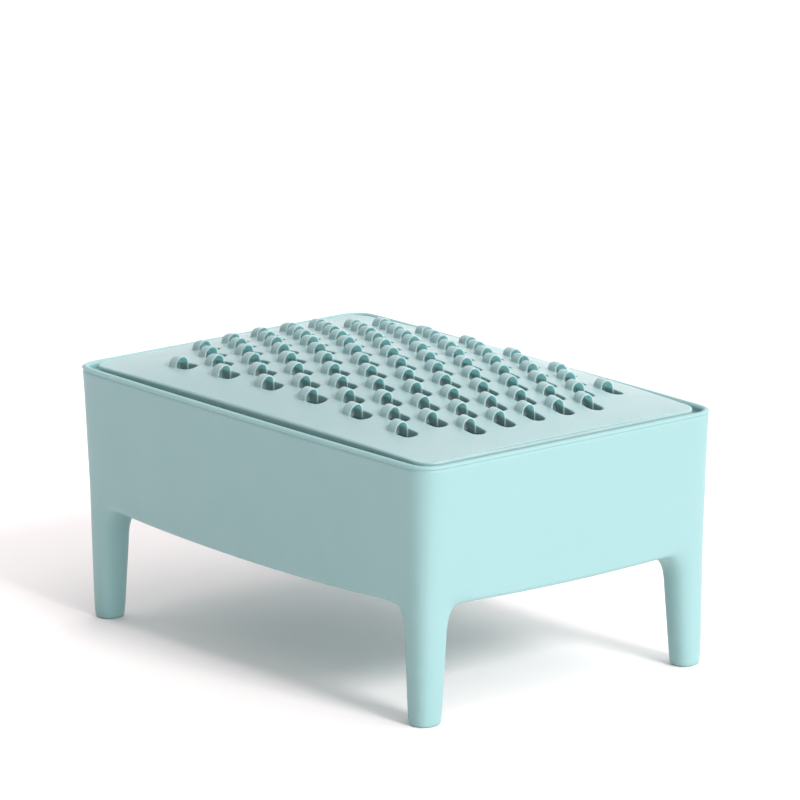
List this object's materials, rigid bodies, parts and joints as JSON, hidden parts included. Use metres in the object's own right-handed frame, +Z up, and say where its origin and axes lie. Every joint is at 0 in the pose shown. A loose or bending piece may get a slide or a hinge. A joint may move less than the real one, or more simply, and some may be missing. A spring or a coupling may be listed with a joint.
{
  "type": "grater dish",
  "caption": "Bar-soap grater dish: a small catch tub standing on tapered corner legs, closed by a drop-in domed grater lid.",
  "frame": {"origin": "on the floor, at the middle of the footprint", "axes": "+X along the long side, the way the teeth cut, +Y across, +Z up"},
  "size_m": [0.1118, 0.0744, 0.0596],
  "materials": {
    "tub_plastic": "satin injection moulding, pale aqua",
    "lid_plastic": "satin injection moulding, pale aqua"
  },
  "bodies": {
    "base": {"tub": "tub_plastic"},
    "lid": {"grater_lid": "lid_plastic"}
  },
  "joints": [
    {"name": "lid_lift", "type": "slide", "parent": "base", "child": "lid", "axis": [0, 0, 1], "range_m": [0, 0.06]}
  ]
}
